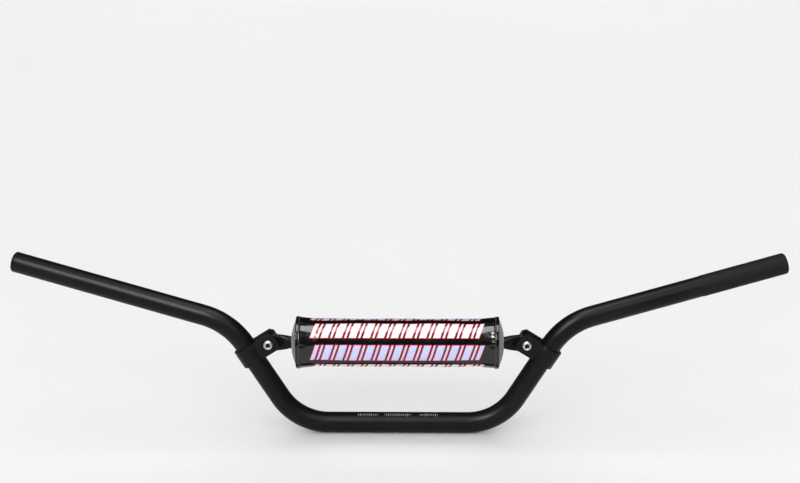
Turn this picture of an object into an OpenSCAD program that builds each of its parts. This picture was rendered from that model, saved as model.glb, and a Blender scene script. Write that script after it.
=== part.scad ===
// Motorcycle handlebar: a bent tube braced by a clamped crossbar, with a round chest pad on it.
// Lengths are millimetres. The origin is on the tube axis, in the middle of the straight centre
// section. +X runs along the bar, +Y is the way the arms sweep back and +Z is up.
// "left" is the -X side, "right" the +X side, "front" faces -Y and "rear" faces +Y.

/* [Main tube] */
// Outer diameter of the bent tube
tube_d = 22.2; // [22:0.1:22.4]
// Wall thickness of the bent tube
tube_wall = 3.6; // [2.5:0.1:4]
// Distance between the centres of the two tube ends
bar_width = 827; // [760:1:860]
// Height of the end centres above the centre section
bar_height = 163.5; // [150:0.1:175]
// How far the end centres sit behind the centre section
bar_sweep = 50.8; // [30:0.1:70]
// Chamfer round each tube end
end_chamfer = 1.8; // [0.5:0.1:2.5]
// Length of the knurled zone at the right end
knurl_length = 96; // [60:1:120]
// How far the knurling stands above the plain tube
knurl_height = 0.3; // [0.1:0.05:0.5]

/* [Bends] */
// Distance from the middle to the corner that the lower bend rounds
low_corner_x = 107.3; // [104:0.1:110]
// Distance from the middle to the corner that the upper bend rounds
high_corner_x = 177.8; // [174:0.1:182]
// Height of the corner that the upper bend rounds
high_corner_z = 110.9; // [108:0.1:114]
// Radius of the lower bend on the tube axis
low_bend_r = 61; // [55:1:65]
// Radius of the upper bend on the tube axis
high_bend_r = 69; // [60:1:69]

/* [Crossbar] */
// Height of the crossbar axis
crossbar_z = 89.2; // [87:0.1:90]
// Outer diameter of the crossbar tube
crossbar_d = 12.7; // [12:0.1:13]
// Wall thickness of the crossbar tube
crossbar_wall = 2; // [1.5:0.1:3]
// Thickness of the flattened ends
flat_thickness = 6.4; // [5:0.1:7]
// Height of the flattened ends
flat_height = 17.2; // [16:0.1:18]
// Where the flattening starts, from the middle
flat_start = 115; // [114:0.5:116]
// How much length the flattening takes
flat_run = 12; // [8:0.5:12]
// Distance from the middle to each clamp bolt
bolt_x = 137; // [136:0.1:138]

/* [Clamps] */
// Length of a clamp along the leg
clamp_length = 20; // [16:0.5:20]
// Wall of the clamp ring round the leg
clamp_wall = 3; // [2.5:0.1:4]
// Thickness of the two ears and the slit together
ear_depth = 22; // [20:0.5:24]
// How far the ears reach past the bolt
ear_reach = 10.2; // [9:0.1:11]
// Chamfer on the ear tips, along the ear
tip_chamfer = 3.8; // [2:0.1:5]

/* [Bolts] */
// Thread diameter of the clamp bolts
bolt_d = 6; // [5:0.5:6]
// Length of a clamp bolt under its head
bolt_length = 25; // [24:1:28]
// Diameter of the button head
head_d = 10.5; // [9.5:0.1:11]
// Height of the button head
head_height = 3.3; // [2.5:0.1:3.5]
// Width of the hex socket across its flats
socket_width = 4; // [3:0.5:4]
// Width of the nut across its flats
nut_width = 10; // [9:0.5:10]
// Height of the nut
nut_height = 5; // [4:0.5:6]

/* [Chest pad] */
// Outer diameter of the pad cover
pad_d = 51.2; // [46:0.2:54]
// Length of the pad cover
cover_length = 215; // [200:1:218]
// How much the pad's radius grows towards each end
flare = 1.6; // [0:0.1:2.4]
// Length over which it grows
flare_run = 20; // [10:1:24]
// How far each end panel bulges past the cover
end_bulge = 5.6; // [4:0.1:5.8]
// Thickness of the cover sheet
sheet = 0.9; // [0.6:0.1:1.2]
// Width of the folded hem at each end of the cover
hem_width = 4.4; // [3:0.1:6]
// How far the hem stands above the cover
hem_height = 0.8; // [0.4:0.1:1]
// Width of the hook and loop closure strips round the pad
strip_width = 25; // [16:1:30]
// Thickness of each closure strip
strip_thickness = 1; // [0.8:0.1:1.5]

/* [Hidden] */
$fn = 96;
hull_fn = 32;

// Gap between pieces that are clamped or sewn together
seat_gap = 0.02;
// Gap between a turning piece and what it turns on or faces
turn_gap = 0.3;
// Gap under a bolt head
head_gap = 0.1;
// Radial clearance of a bolt in the holes it passes through
hole_clearance = 0.25;
// Radial clearance of a bolt in its nut
thread_clearance = 0.05;
// Extra length of every cutting shape
cut = 1;

tube_r = tube_d / 2;
bore_r = tube_r - tube_wall;
crossbar_r = crossbar_d / 2;
pad_r = pad_d / 2;

// The leg runs from the lower corner to the upper one, the arm from there to the tube end
leg = [high_corner_x - low_corner_x, 0, high_corner_z];
arm = [bar_width / 2 - high_corner_x, bar_sweep, bar_height - high_corner_z];
leg_dir = leg / norm(leg);
arm_dir = arm / norm(arm);
leg_angle = atan2(leg_dir.z, leg_dir.x);
arm_turn = acos(leg_dir * arm_dir);
// Direction, seen along the leg, towards which the upper bend turns
arm_roll = atan2(-arm_dir.y, arm_dir.z * cos(leg_angle) - arm_dir.x * sin(leg_angle));
low_tangent = low_bend_r * tan(leg_angle / 2);
high_tangent = high_bend_r * tan(arm_turn / 2);
centre_half = low_corner_x - low_tangent;
leg_straight = norm(leg) - low_tangent - high_tangent;
arm_straight = norm(arm) - high_tangent;
bore_chamfer = 0.6;
// The straight lengths run this far into the bends, whose wall is drawn a hair thinner
lap = 0.5;
bend_thinning = 0.02;

// Place of the bolt along the leg, from the lower corner, and its distance from the leg axis
bolt_along = (bolt_x - low_corner_x) * leg_dir.x + crossbar_z * leg_dir.z;
bolt_out = crossbar_z * leg_dir.x - (bolt_x - low_corner_x) * leg_dir.z;

spot_face_depth = 0.8;
spot_face_d = 12.4;
nut_pocket_depth = 3;
nut_pocket_gap = 0.1;
head_seat_y = -ear_depth / 2 + spot_face_depth - head_gap;
nut_seat_y = ear_depth / 2 - nut_pocket_depth;

foam_slit = 1.5;
// Room between the foam's cones and the end panels
cone_gap = 1;
end_r = pad_r + flare;
cone_x = cover_length / 2;
hem_x = cone_x - hem_width;
flare_x = hem_x - flare_run;
strip_r = pad_r + seat_gap;
flap_r = strip_r + 2 * strip_thickness + 2 * seat_gap;
strip_angle = strip_width / pad_r * 180 / PI;
strip_margin = 3;
strip_length = 2 * (flare_x - strip_margin);
rear_angle = 90;
// Angles that the flap runs past the strips, and that its joint with the cover takes
flap_margin = 6;
flap_web = 4;

// ---- Shared shapes ----

// Cross-section of the bent tube, with its wall thinned by the same amount on both sides
module tube_section(thinned = 0) {
    difference() {
        circle(r = tube_r - thinned);
        circle(r = bore_r + thinned);
    }
}

// Tube bend that starts along +Z at the origin and turns towards +X
module tube_bend(radius, angle) {
    translate([radius, 0, 0])
        rotate([90, 0, 180])
            rotate_extrude(angle = angle)
                translate([radius, 0])
                    tube_section(bend_thinning);
}

// Moves its children to the end of such a bend
module past_bend(radius, angle) {
    translate([radius * (1 - cos(angle)), 0, radius * sin(angle)])
        rotate([0, angle, 0])
            children();
}

// Straight arm along +Z, with its outer end chamfered and thicker over the knurled length
module tube_arm(knurl) {
    thick_r = tube_r + (knurl > 0 ? knurl_height : 0);
    rotate_extrude()
        polygon([
            [bore_r, -lap],
            [tube_r, -lap],
            [tube_r, arm_straight - knurl - end_chamfer],
            [thick_r, arm_straight - knurl - end_chamfer],
            [thick_r, arm_straight - end_chamfer],
            [thick_r - end_chamfer, arm_straight],
            [bore_r + bore_chamfer, arm_straight],
            [bore_r, arm_straight - bore_chamfer]
        ]);
}

// Lower bend, leg, upper bend and arm of the +X side
module tube_half(knurl) {
    translate([centre_half, 0, 0])
        rotate([180, -90, 0]) {
            tube_bend(low_bend_r, leg_angle);
            past_bend(low_bend_r, leg_angle) {
                translate([0, 0, -lap])
                    linear_extrude(leg_straight + 2 * lap)
                        tube_section();
                translate([0, 0, leg_straight])
                    rotate([0, 0, arm_roll]) {
                        tube_bend(high_bend_r, arm_turn);
                        past_bend(high_bend_r, arm_turn)
                            tube_arm(knurl);
                    }
            }
        }
}

// Frame of the +X clamp: +Z along the leg, -X towards the bolt, +Y to the rear
module on_leg() {
    translate([low_corner_x, 0, 0] + leg_dir * bolt_along)
        rotate([0, 90 - leg_angle, 0])
            children();
}

// Frame of the +X clamp bolt: +Z to the rear
module on_bolt() {
    translate([bolt_x, 0, crossbar_z])
        rotate([-90, 0, 0])
            children();
}

// Frame of the pad: its +Z points to -X, and angles are counted from the top towards the rear
module on_crossbar() {
    translate([0, 0, crossbar_z])
        rotate([0, -90, 0])
            children();
}

// Part of a flat ring, from one angle to another
module ring_sector(inner_r, outer_r, from, to) {
    steps = 24;
    reach = 2 * outer_r;
    intersection() {
        difference() {
            circle(r = outer_r);
            circle(r = inner_r);
        }
        polygon(concat(
            [[0, 0]],
            [for (i = [0:steps]) let (a = from + (to - from) * i / steps) reach * [cos(a), sin(a)]]
        ));
    }
}

// ---- Sub-parts ----

module main_tube() {
    color([0.07, 0.07, 0.075]) {
        rotate([0, 90, 0])
            linear_extrude(2 * (centre_half + lap), center = true)
                tube_section();
        tube_half(knurl_length - end_chamfer);
        mirror([1, 0, 0])
            tube_half(0);
    }
}

// Round tube that is pressed flat at one end, from the middle to +X
module crossbar_half() {
    eye_r = flat_height / 2;
    press_step = 0.4;
    press_lead = 2;
    rotate([0, 90, 0])
        cylinder(r = crossbar_r, h = flat_start);
    hull() {
        translate([flat_start - press_lead, 0, 0])
            rotate([0, 90, 0])
                cylinder(d = crossbar_d - press_step, h = 1, $fn = hull_fn);
        translate([flat_start + flat_run, -flat_thickness / 2, -eye_r])
            cube([1, flat_thickness, flat_height]);
    }
    translate([flat_start + flat_run, -flat_thickness / 2, -eye_r])
        cube([bolt_x - flat_start - flat_run, flat_thickness, flat_height]);
    translate([bolt_x, 0, 0])
        rotate([90, 0, 0])
            cylinder(r = eye_r, h = flat_thickness, center = true);
}

module crossbar() {
    solid_lead = 6;
    bore_half = flat_start - solid_lead;
    color([0.06, 0.06, 0.065])
        translate([0, 0, crossbar_z])
            difference() {
                union() {
                    crossbar_half();
                    mirror([1, 0, 0])
                        crossbar_half();
                }
                rotate([0, 90, 0])
                    cylinder(r = crossbar_r - crossbar_wall, h = 2 * bore_half, center = true);
                for (side = [-1, 1])
                    translate([side * bolt_x, 0, 0])
                        rotate([90, 0, 0])
                            cylinder(d = bolt_d + 2 * hole_clearance, h = flat_thickness + 2 * cut,
                                     center = true);
            }
}

// Split ring with two ears, for the +X leg
module clamp() {
    tip = bolt_out + ear_reach;
    half = clamp_length / 2;
    slit = flat_thickness + 2 * seat_gap;
    color([0.06, 0.06, 0.065])
        difference() {
            on_leg() {
                cylinder(r = tube_r + clamp_wall, h = clamp_length, center = true);
                rotate([90, 0, 0])
                    linear_extrude(ear_depth, center = true)
                        polygon([
                            [0, -half],
                            [0, half],
                            [tip_chamfer - tip, half],
                            [-tip, half - tip_chamfer],
                            [-tip, tip_chamfer - half],
                            [tip_chamfer - tip, -half]
                        ]);
            }
            on_leg() {
                cylinder(r = tube_r + seat_gap, h = clamp_length + 2 * cut, center = true);
                translate([-tip - cut, -slit / 2, -half - cut])
                    cube([tip + cut, slit, clamp_length + 2 * cut]);
            }
            on_bolt() {
                cylinder(d = bolt_d + 2 * hole_clearance, h = ear_depth + 2 * cut, center = true);
                translate([0, 0, -ear_depth / 2 - cut])
                    cylinder(d = spot_face_d, h = spot_face_depth + cut);
                translate([0, 0, nut_seat_y])
                    cylinder(d = (nut_width + 2 * nut_pocket_gap) / cos(30),
                             h = nut_pocket_depth + cut, $fn = 6);
            }
        }
}

// Button-head bolt of the +X clamp, head to the front
module bolt() {
    rim = 0.6;
    dome_d = 6.6;
    socket_depth = 2;
    color([0.75, 0.75, 0.77])
        on_bolt()
            difference() {
                union() {
                    translate([0, 0, head_seat_y])
                        cylinder(d = bolt_d, h = bolt_length);
                    translate([0, 0, head_seat_y - rim])
                        cylinder(d = head_d, h = rim);
                    translate([0, 0, head_seat_y - head_height])
                        cylinder(d1 = dome_d, d2 = head_d, h = head_height - rim);
                }
                translate([0, 0, head_seat_y - head_height - cut])
                    cylinder(d = socket_width / cos(30), h = socket_depth + cut, $fn = 6);
            }
}

// Hex nut of the +X clamp, sitting in the rear pocket
module nut() {
    color([0.7, 0.7, 0.72])
        on_bolt()
            translate([0, 0, nut_seat_y + seat_gap])
                difference() {
                    cylinder(d = nut_width / cos(30), h = nut_height, $fn = 6);
                    translate([0, 0, -cut])
                        cylinder(d = bolt_d + 2 * thread_clearance, h = nut_height + 2 * cut);
                }
}

// Foam core with cone ends, a bore for the crossbar and a slit to push it on through
module pad_foam() {
    bore = crossbar_r + turn_gap;
    inset = sheet + seat_gap;
    mouth = cone_x + end_bulge - inset - cone_gap;
    color([0.15, 0.15, 0.16])
        difference() {
            on_crossbar()
                rotate_extrude()
                    polygon([
                        [bore, -mouth],
                        [end_r - inset, inset - cone_x],
                        [end_r - inset, -hem_x],
                        [pad_r - inset, -flare_x],
                        [pad_r - inset, flare_x],
                        [end_r - inset, hem_x],
                        [end_r - inset, cone_x - inset],
                        [bore, mouth]
                    ]);
            translate([-mouth - cut, 0, crossbar_z - foam_slit / 2])
                cube([2 * (mouth + cut), end_r + cut, foam_slit]);
        }
}

// Vinyl sheet round the foam, with a hem at each end and a flap that overlaps the closure
module pad_cover() {
    flap_from = rear_angle - strip_angle / 2 - flap_margin;
    flap_to = rear_angle + strip_angle / 2;
    hem_r = end_r + hem_height;
    color([0.03, 0.03, 0.035])
        on_crossbar() {
            rotate_extrude()
                polygon([
                    [end_r - sheet, -cone_x],
                    [hem_r, -cone_x],
                    [hem_r, -hem_x],
                    [end_r, -hem_x],
                    [pad_r, -flare_x],
                    [pad_r, flare_x],
                    [end_r, hem_x],
                    [hem_r, hem_x],
                    [hem_r, cone_x],
                    [end_r - sheet, cone_x],
                    [end_r - sheet, hem_x],
                    [pad_r - sheet, flare_x],
                    [pad_r - sheet, -flare_x],
                    [end_r - sheet, -hem_x]
                ]);
            linear_extrude(strip_length, center = true) {
                ring_sector(flap_r, flap_r + sheet, flap_from, flap_to);
                ring_sector(pad_r - sheet / 2, flap_r + sheet / 2, flap_from, flap_from + flap_web);
            }
        }
}

// Fabric cone that closes the -X end of the pad
module pad_end() {
    mouth_r = crossbar_r + turn_gap;
    edge_r = end_r - sheet - seat_gap;
    color([0.45, 0.45, 0.46])
        on_crossbar()
            rotate_extrude()
                polygon([
                    [mouth_r, cone_x + end_bulge - sheet],
                    [edge_r, cone_x - sheet],
                    [edge_r, cone_x],
                    [mouth_r, cone_x + end_bulge]
                ]);
}

// One strip of the closure, curved round the rear of the pad
module closure_strip(inner_r) {
    on_crossbar()
        linear_extrude(strip_length, center = true)
            ring_sector(inner_r, inner_r + strip_thickness, rear_angle - strip_angle / 2,
                        rear_angle + strip_angle / 2);
}

module hook_strip() {
    color([0.1, 0.1, 0.11])
        closure_strip(strip_r);
}

module loop_strip() {
    color([0.13, 0.13, 0.14])
        closure_strip(strip_r + strip_thickness + seat_gap);
}

main_tube();
crossbar();
mirror([1, 0, 0]) clamp();  // clamp_left
clamp();  // clamp_right
mirror([1, 0, 0]) bolt();  // bolt_left
bolt();  // bolt_right
mirror([1, 0, 0]) nut();  // nut_left
nut();  // nut_right
pad_foam();
pad_cover();
pad_end();  // pad_end_left
mirror([1, 0, 0]) pad_end();  // pad_end_right
hook_strip();
loop_strip();
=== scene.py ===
import math

import bmesh
import bpy
import numpy as np
from mathutils import Matrix, Vector


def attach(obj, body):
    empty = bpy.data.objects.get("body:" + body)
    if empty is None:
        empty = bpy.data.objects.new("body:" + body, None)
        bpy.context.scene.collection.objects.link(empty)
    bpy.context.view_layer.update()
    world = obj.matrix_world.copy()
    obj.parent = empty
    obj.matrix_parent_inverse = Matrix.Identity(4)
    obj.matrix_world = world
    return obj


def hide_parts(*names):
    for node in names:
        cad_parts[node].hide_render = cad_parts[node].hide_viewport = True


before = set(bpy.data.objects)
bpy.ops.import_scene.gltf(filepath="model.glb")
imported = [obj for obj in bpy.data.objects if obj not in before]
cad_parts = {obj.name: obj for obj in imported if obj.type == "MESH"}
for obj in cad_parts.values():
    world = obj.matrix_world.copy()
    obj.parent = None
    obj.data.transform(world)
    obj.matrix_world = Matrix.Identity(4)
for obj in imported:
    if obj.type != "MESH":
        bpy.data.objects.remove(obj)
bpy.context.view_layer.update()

# ---------------------------------------------------------------- sizes, in metres

MM = 0.001
TUBE_R = 11.1 * MM
BORE_R = 7.5 * MM
KNURL_H = 0.3 * MM
KNURL_LENGTH = 96 * MM
END_CHAMFER = 1.8 * MM
BORE_CHAMFER = 0.6 * MM
# The +X side's corners before bending, its end point, and the bend radii
LOW_CORNER = Vector((107.3, 0, 0)) * MM
HIGH_CORNER = Vector((177.8, 0, 110.9)) * MM
END_POINT = Vector((413.5, 50.8, 163.5)) * MM
LOW_BEND_R = 61 * MM
HIGH_BEND_R = 69 * MM

CROSSBAR_Z = 89.2 * MM
CROSSBAR_R = 6.35 * MM
FLAT_T = 6.4 * MM
FLAT_H = 17.2 * MM
FLAT_START = 115 * MM
BOLT_X = 137 * MM
HOLE_R = 3.25 * MM
PRESS_LEAD = 2 * MM
PRESS_RUN = 14 * MM

# Places along a bolt's axis are from the crossbar's middle, to the rear
HEAD_SEAT = -10.3 * MM
HEAD_R = 5.25 * MM
HEAD_FLAT_R = 2.95 * MM
HEAD_H = 3.3 * MM
SOCKET_A = 2.0 * MM
SOCKET_DEPTH = 2.0 * MM
SHANK_R = 3.0 * MM
BOLT_LENGTH = 25 * MM
THREAD_FROM = 4 * MM
THREAD_PITCH = 1.0 * MM
THREAD_DEPTH = 0.4 * MM
NUT_SEAT = 8.02 * MM
NUT_H = 5.0 * MM
NUT_A = 5.0 * MM

PAD_R = 25.6 * MM
COVER_HALF = 107.5 * MM
END_BULGE = 5.6 * MM
SHEET = 0.9 * MM
HEM_W = 4.4 * MM
HEM_H = 0.8 * MM
FLARE = 1.6 * MM
FLARE_RUN = 20 * MM
STRIP_T = 1.0 * MM
STRIP_HALF = 80.1 * MM
STRIP_W = 25 * MM
STRIP_ANGLE = STRIP_W / PAD_R
REAR = math.pi / 2
FLAP_R = PAD_R + 2 * STRIP_T + 0.06 * MM + SHEET
PAD_GAP = 0.3 * MM

# ---------------------------------------------------------------- mesh helpers


def add_object(name, mesh):
    piece = bpy.data.objects.new(name, mesh)
    bpy.context.scene.collection.objects.link(piece)
    return piece


def shade(mesh, angle=35):
    mesh.shade_smooth()
    mesh.set_sharp_from_angle(angle=math.radians(angle))


def grid_mesh(name, points, wrap_rows=False, wrap_cols=True, uv=None, sharp=35):
    """A mesh from a grid of points, rows by columns, with faces between neighbours."""
    points = np.asarray(points, float)
    rows, cols, _ = points.shape
    r = np.arange(rows if wrap_rows else rows - 1)
    c = np.arange(cols if wrap_cols else cols - 1)
    rr, cc = np.meshgrid(r, c, indexing="ij")
    r2 = (rr + 1) % rows
    c2 = (cc + 1) % cols
    quads = np.stack([rr * cols + cc, rr * cols + c2, r2 * cols + c2, r2 * cols + cc], -1).reshape(-1, 4)
    mesh = bpy.data.meshes.new(name)
    mesh.vertices.add(rows * cols)
    mesh.vertices.foreach_set("co", points.reshape(-1))
    mesh.loops.add(quads.size)
    mesh.loops.foreach_set("vertex_index", quads.reshape(-1))
    mesh.polygons.add(len(quads))
    mesh.polygons.foreach_set("loop_start", np.arange(0, quads.size, 4))
    if uv is not None:
        u, v = uv
        layer = mesh.uv_layers.new(name="run")
        cu = np.stack([cc, cc + 1, cc + 1, cc], -1).reshape(-1)
        rv = np.stack([rr, rr, rr + 1, rr + 1], -1).reshape(-1)
        coords = np.stack([np.asarray(u)[cu], np.asarray(v)[rv]], -1)
        layer.data.foreach_set("uv", coords.reshape(-1))
    mesh.update(calc_edges=True)
    mesh.validate()
    shade(mesh, sharp)
    return mesh


def outward(mesh):
    """Turns every face outward and keeps the shading."""
    bm = bmesh.new()
    bm.from_mesh(mesh)
    bmesh.ops.recalc_face_normals(bm, faces=bm.faces)
    bm.to_mesh(mesh)
    bm.free()
    mesh.update()


def fill_ends(mesh):
    """Closes the open ends and turns every face outward."""
    bm = bmesh.new()
    bm.from_mesh(mesh)
    bmesh.ops.holes_fill(bm, edges=[e for e in bm.edges if e.is_boundary])
    bmesh.ops.recalc_face_normals(bm, faces=bm.faces)
    bm.to_mesh(mesh)
    bm.free()


def join(name, objects):
    """One object from several, in order."""
    bm = bmesh.new()
    for piece in objects:
        part = piece.data.copy()
        part.transform(piece.matrix_world)
        bm.from_mesh(part)
        bpy.data.meshes.remove(part)
    mesh = bpy.data.meshes.new(name)
    bm.to_mesh(mesh)
    bm.free()
    for piece in objects:
        data = piece.data
        bpy.data.objects.remove(piece)
        bpy.data.meshes.remove(data)
    return add_object(name, mesh)


def apply_modifiers(piece):
    """Replaces the object's mesh by what its modifiers make of it."""
    graph = bpy.context.evaluated_depsgraph_get()
    made = bpy.data.meshes.new_from_object(piece.evaluated_get(graph))
    old = piece.data
    piece.modifiers.clear()
    piece.data = made
    bpy.data.meshes.remove(old)


def smoothstep(a, b, x):
    t = np.clip((np.asarray(x, float) - a) / (b - a), 0, 1)
    return t * t * (3 - 2 * t)


# ---------------------------------------------------------------- material helpers


class Nodes:
    """Short calls for building a Principled material."""

    def __init__(self, name):
        self.mat = bpy.data.materials.new(name)
        self.mat.use_nodes = True
        self.tree = self.mat.node_tree
        self.bsdf = self.tree.nodes["Principled BSDF"]

    def add(self, kind, **inputs):
        node = self.tree.nodes.new(kind)
        for key, value in inputs.items():
            if hasattr(node, key):
                setattr(node, key, value)
            else:
                self.put(node.inputs[key.replace("_", " ")], value)
        return node

    def put(self, socket, value):
        if isinstance(value, bpy.types.NodeSocket):
            self.tree.links.new(value, socket)
        else:
            socket.default_value = value

    def math(self, operation, a, b=0.0, c=0.0):
        node = self.tree.nodes.new("ShaderNodeMath")
        node.operation = operation
        for socket, value in zip(node.inputs, (a, b, c)):
            self.put(socket, value)
        return node.outputs[0]

    def ramp(self, value, a, b, to_a=0.0, to_b=1.0):
        node = self.tree.nodes.new("ShaderNodeMapRange")
        node.interpolation_type = "SMOOTHSTEP"
        for socket, v in zip(node.inputs, (value, a, b, to_a, to_b)):
            self.put(socket, v)
        return node.outputs[0]

    def mix(self, factor, a, b):
        node = self.tree.nodes.new("ShaderNodeMix")
        node.data_type = "RGBA"
        self.put(node.inputs[0], factor)
        self.put(node.inputs[6], a)
        self.put(node.inputs[7], b)
        return node.outputs[2]

    def object_xyz(self):
        coords = self.tree.nodes.new("ShaderNodeTexCoord")
        split = self.tree.nodes.new("ShaderNodeSeparateXYZ")
        self.tree.links.new(coords.outputs["Object"], split.inputs[0])
        return coords.outputs["Object"], split.outputs

    def noise(self, vector, scale, detail=3.0, roughness=0.6, stretch=None):
        if stretch:
            scaled = self.tree.nodes.new("ShaderNodeVectorMath")
            scaled.operation = "MULTIPLY"
            self.tree.links.new(vector, scaled.inputs[0])
            scaled.inputs[1].default_value = stretch
            vector = scaled.outputs[0]
        node = self.tree.nodes.new("ShaderNodeTexNoise")
        self.put(node.inputs["Vector"], vector)
        node.inputs["Scale"].default_value = scale
        node.inputs["Detail"].default_value = detail
        node.inputs["Roughness"].default_value = roughness
        return node.outputs["Fac"]

    def bump(self, height, strength, distance):
        node = self.tree.nodes.new("ShaderNodeBump")
        node.inputs["Strength"].default_value = strength
        node.inputs["Distance"].default_value = distance
        self.put(node.inputs["Height"], height)
        return node.outputs[0]

    def set(self, **inputs):
        for key, value in inputs.items():
            self.put(self.bsdf.inputs[key.replace("_", " ")], value)


def set_material(piece, *materials):
    piece.data.materials.clear()
    for material in materials:
        piece.data.materials.append(material)


# ---------------------------------------------------------------- materials


def anodised_black(name, tone=0.003, rough=0.36, grain=0.4):
    """Black anodised aluminium: fine grain, slightly uneven sheen and a few rubbed specks."""
    n = Nodes(name)
    coords, _ = n.object_xyz()
    cloudy = n.noise(coords, 18, 3)
    fine = n.noise(coords, 900, 2)
    specks = n.noise(coords, 260, 4, 0.75)
    rubbed = n.ramp(specks, 0.71, 0.78)
    dark, light = (tone, tone, tone * 1.06, 1), (tone * 1.5, tone * 1.5, tone * 1.55, 1)
    base = n.mix(n.ramp(cloudy, 0.35, 0.65), dark, light)
    base = n.mix(n.math("MULTIPLY", rubbed, 0.35), base, (0.09, 0.09, 0.092, 1))
    grainy = n.ramp(fine, 0.3, 0.7, rough - 0.04, rough + 0.05)
    n.set(Base_Color=base, Roughness=grainy, Normal=n.bump(fine, grain, 0.06 * MM))
    n.set(Specular_IOR_Level=0.15)
    return n.mat


def tube_material():
    """The main tube: anodised black, drawn lines along it, a rough knurled end and etched marks."""
    n = Nodes("tube_black")
    coords, xyz = n.object_xyz()
    uv = n.add("ShaderNodeUVMap", uv_map="run").outputs[0]
    cloudy = n.noise(coords, 14, 3)
    fine = n.noise(coords, 1100, 2)
    drawn = n.noise(uv, 1.0, 3, 0.7, stretch=(260.0, 14.0, 1.0))
    specks = n.noise(coords, 230, 4, 0.8)
    rubbed = n.ramp(specks, 0.72, 0.8)
    tone = n.mix(n.ramp(cloudy, 0.35, 0.65), (0.003, 0.003, 0.0032, 1), (0.0055, 0.0055, 0.0058, 1))
    tone = n.mix(n.math("MULTIPLY", rubbed, 0.3), tone, (0.08, 0.08, 0.082, 1))
    knurled = n.ramp(xyz[0], KNURL_START_X - 0.4 * MM, KNURL_START_X + 0.4 * MM)
    tone = n.mix(knurled, tone, (0.0075, 0.0075, 0.0078, 1))
    marks = etched_marks(n, xyz)
    tone = n.mix(marks, tone, (0.42, 0.42, 0.4, 1))
    sheen = n.math("ADD", n.ramp(fine, 0.3, 0.7, 0.33, 0.40), n.ramp(drawn, 0.3, 0.7, -0.015, 0.02))
    rough = n.math("ADD", sheen, n.math("MULTIPLY", knurled, 0.2))
    height = n.math("ADD", n.math("MULTIPLY", fine, 0.6), n.math("MULTIPLY", drawn, 0.6))
    n.set(Base_Color=tone, Roughness=rough, Specular_IOR_Level=0.15)
    n.set(Normal=n.bump(height, 0.35, 0.05 * MM))
    return n.mat


# Etched scale: groups of ticks as (middle, half length), the ticks' pitch and half sizes
MARK_GROUPS = ((-32 * MM, 11.5 * MM), (0.0, 14 * MM), (33 * MM, 9.5 * MM))
MARK_ANGLE = math.radians(25)
TICK_PITCH = 2 * MM
LONG_TICK_PITCH = 10 * MM
TICK_HALF_W = 0.28 * MM
LONG_TICK_HALF_W = 0.4 * MM
TICK_HALF_L = 1.2 * MM
LONG_TICK_EXTRA = 0.9 * MM


def etched_marks(n, xyz):
    """Etched alignment scale near the top of the centre section: three groups of ticks."""
    x, y, z = xyz
    angle = n.math("ADD", n.math("ARCTAN2", y, z), MARK_ANGLE)
    off_line = n.math("MULTIPLY", angle, TUBE_R)
    total = None
    for centre, half in MARK_GROUPS:
        local = n.math("ABSOLUTE", n.math("SUBTRACT", x, centre))
        inside = n.math("LESS_THAN", local, half)
        tick = n.math("LESS_THAN", n.math("PINGPONG", x, TICK_PITCH / 2), TICK_HALF_W)
        major = n.math("LESS_THAN", n.math("PINGPONG", x, LONG_TICK_PITCH / 2), LONG_TICK_HALF_W)
        length = n.math("ADD", TICK_HALF_L, n.math("MULTIPLY", major, LONG_TICK_EXTRA))
        across = n.math("LESS_THAN", n.math("ABSOLUTE", off_line), length)
        mark = n.math("MULTIPLY", n.math("MULTIPLY", inside, tick), across)
        total = mark if total is None else n.math("MAXIMUM", total, mark)
    return total


def steel_material():
    """Bright steel with a fine grain; the sockets are rougher and darkened with painted shade."""
    n = Nodes("bolt_steel")
    coords, xyz = n.object_xyz()
    cloudy = n.noise(coords, 300, 3)
    fine = n.noise(coords, 2500, 2)
    x, y, z = xyz
    out = n.math("SUBTRACT", n.math("ABSOLUTE", x), BOLT_X)
    up = n.math("SUBTRACT", z, CROSSBAR_Z)
    radius = n.math("SQRT", n.math("ADD", n.math("MULTIPLY", out, out), n.math("MULTIPLY", up, up)))
    # Painted shade: a mask of the bolt heads' sockets, where the recess is darkened in the colour
    painted_socket_shade = n.ramp(radius, SOCKET_A + 0.45 * MM, SOCKET_A + 0.3 * MM)
    inside = n.math("MULTIPLY", painted_socket_shade, n.ramp(y, 0.0, -1 * MM))
    base = n.mix(cloudy, (0.5, 0.5, 0.51, 1), (0.66, 0.66, 0.67, 1))
    # Painted shade: near-black colour inside the sockets
    base = n.mix(inside, base, (0.03, 0.03, 0.031, 1))
    rough = n.math("ADD", n.ramp(fine, 0.3, 0.7, 0.38, 0.5), n.math("MULTIPLY", inside, 0.3))
    n.set(Base_Color=base, Metallic=1.0, Roughness=rough, Normal=n.bump(fine, 0.3, 0.03 * MM))
    return n.mat


def vinyl_material():
    """Glossy black vinyl with rows of printed slanted blocks, pale with red edges."""
    n = Nodes("cover_vinyl")
    coords, xyz = n.object_xyz()
    x, y, z = xyz
    angle = n.math("ARCTAN2", y, n.math("SUBTRACT", z, CROSSBAR_Z))
    inner, outer, second = printed_rows(n, x, angle)
    wide = n.noise(coords, 45, 3)
    peel = n.noise(coords, 700, 2)
    tint = n.mix(second, (0.48, 0.53, 0.80, 1), (0.84, 0.81, 0.86, 1))
    base = n.mix(outer, (0.002, 0.002, 0.0023, 1), (0.55, 0.03, 0.04, 1))
    base = n.mix(inner, base, tint)
    n.set(Base_Color=base, Roughness=n.ramp(peel, 0.3, 0.7, 0.13, 0.2))
    n.set(Coat_Weight=0.08, Coat_Roughness=0.08)
    height = n.math("ADD", n.math("MULTIPLY", peel, 0.35), n.math("MULTIPLY", wide, 3.0))
    n.set(Normal=n.bump(height, 0.25, 0.2 * MM))
    return n.mat


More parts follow.
